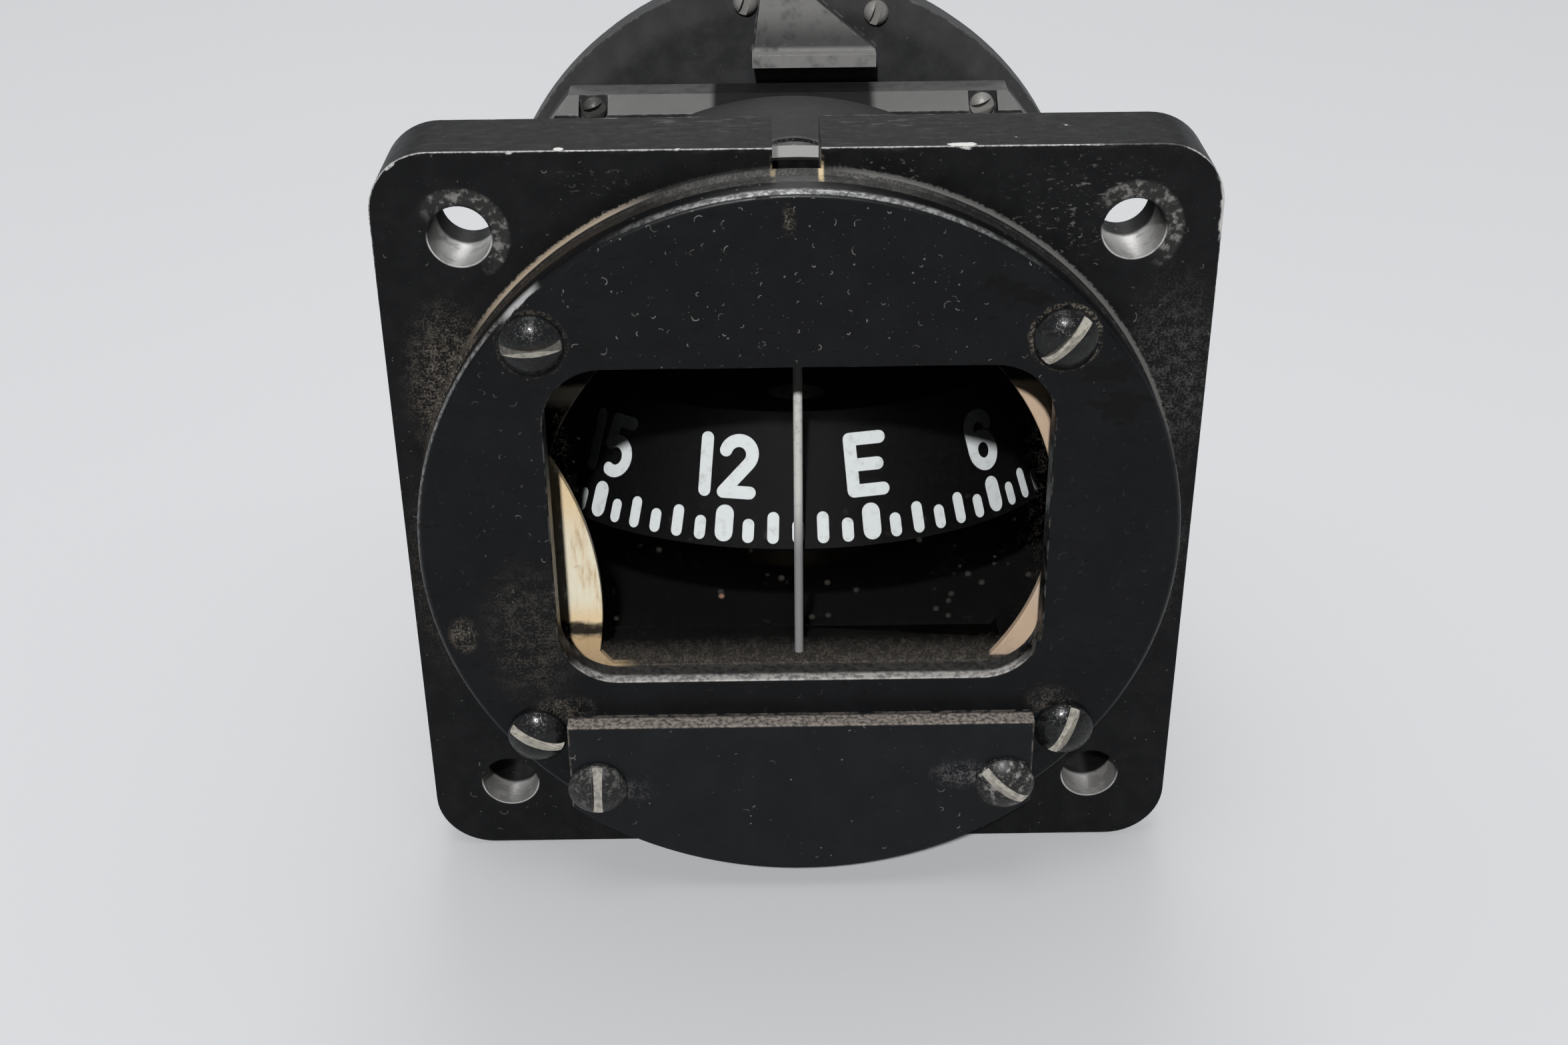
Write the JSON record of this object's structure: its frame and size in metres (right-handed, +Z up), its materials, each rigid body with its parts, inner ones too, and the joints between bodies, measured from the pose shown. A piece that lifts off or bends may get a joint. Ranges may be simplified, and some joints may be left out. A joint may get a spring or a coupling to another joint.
{
  "type": "aircraft compass",
  "caption": "Panel-mounted magnetic compass: square flange, round bezel with a wide window, floating dial card read at a fixed line, round bowl and a corrector behind a cover plate.",
  "frame": {"origin": "centre of the four panel holes, on the flange's front face", "axes": "-Y towards the pilot, +X to the pilot's right, +Z up"},
  "size_m": [0.06, 0.0733, 0.06],
  "materials": {
    "flange_paint": "worn satin black",
    "bezel_paint": "scratched satin black",
    "bowl_paint": "satin black",
    "dark_screw": "blackened",
    "worn_screw": "worn",
    "window_glass": "clear",
    "dark_gasket": "matt",
    "cream_seal": "aged",
    "brown_gasket": "matt",
    "line_white": "matt white",
    "card_black": "matt black with white marks",
    "float_metal": "dull",
    "brass": "dull",
    "copper": "dull",
    "magnet_steel": "dull",
    "pin_steel": "hard and polished",
    "jewel": "polished"
  },
  "bodies": {
    "case": {"front_casting": "flange_paint", "bezel": "bezel_paint", "bezel_screws": "dark_screw", "corrector_cover": "bezel_paint", "cover_screws": "worn_screw", "window_glass": "window_glass", "bezel_gasket": "dark_gasket", "glass_seal": "cream_seal", "lubber_line": "line_white", "bowl": "bowl_paint", "bowl_gasket": "dark_gasket", "bowl_screws": "dark_screw", "filler_plug": "worn_screw", "filler_washer": "copper", "rear_gasket": "brown_gasket", "rear_plate": "bowl_paint", "rear_plate_screws": "worn_screw", "diaphragm": "brass", "rear_housing": "bowl_paint", "rim_screws": "worn_screw", "post_housing": "brass", "post_screws": "brass", "post_cap": "brass", "post_spring": "pin_steel", "corrector_frame": "brass", "corrector_screws": "brass"},
    "stem": {"jewel_stem": "brass", "jewel": "jewel"},
    "pivot": {"pivot_pin": "pin_steel"},
    "card": {"card": "card_black", "float_shell": "float_metal", "float_lid": "float_metal", "magnet_saddle": "brass", "card_magnets": "magnet_steel"},
    "ns_drive": {"ns_adjuster": "brass", "ns_adjuster_magnet": "magnet_steel"},
    "ns_driven": {"ns_follower": "brass", "ns_follower_magnet": "magnet_steel"},
    "ew_drive": {"ew_adjuster": "brass"},
    "ew_cross": {"ew_cross_shaft": "brass", "ew_cross_magnet": "magnet_steel"},
    "ew_driven": {"ew_follower": "brass", "ew_follower_magnet": "magnet_steel"}
  },
  "joints": [
    {"name": "stem_slide", "type": "slide", "parent": "case", "child": "stem", "axis": [0, 0, 1], "range_m": [-0.0008, 0], "stiffness_N_per_m": 400, "springref_m": 0.001, "deforming": ["post_spring"]},
    {"name": "card_tilt", "type": "hinge", "parent": "stem", "child": "pivot", "pos_m": [0, 0.0264, 0.0025], "axis": [1, 0, 0], "range_deg": [-10, 10]},
    {"name": "card_spin", "type": "hinge", "parent": "pivot", "child": "card", "pos_m": [0, 0.0264, 0.0025], "axis": [0, 0, 1], "continuous": true},
    {"name": "ns_turn", "type": "hinge", "parent": "case", "child": "ns_drive", "pos_m": [-0.0081, 0.01, -0.018], "axis": [0, 1, 0], "continuous": true},
    {"name": "ns_follow", "type": "hinge", "parent": "case", "child": "ns_driven", "pos_m": [-0.0027, 0.01, -0.018], "axis": [0, 1, 0], "continuous": true},
    {"name": "ew_turn", "type": "hinge", "parent": "case", "child": "ew_drive", "pos_m": [0.0059, 0.005, -0.018], "axis": [0, 1, 0], "continuous": true},
    {"name": "ew_cross", "type": "hinge", "parent": "case", "child": "ew_cross", "pos_m": [0.006, 0.017, -0.018], "axis": [1, 0, 0], "continuous": true},
    {"name": "ew_follow", "type": "hinge", "parent": "case", "child": "ew_driven", "pos_m": [0.006, 0.0224, -0.018], "axis": [1, 0, 0], "continuous": true}
  ],
  "couplings": [
    {"joint": "ns_follow", "follows": "ns_turn", "ratio": -1},
    {"joint": "ew_cross", "follows": "ew_turn", "ratio": 0.66667},
    {"joint": "ew_follow", "follows": "ew_turn", "ratio": -0.66667}
  ]
}
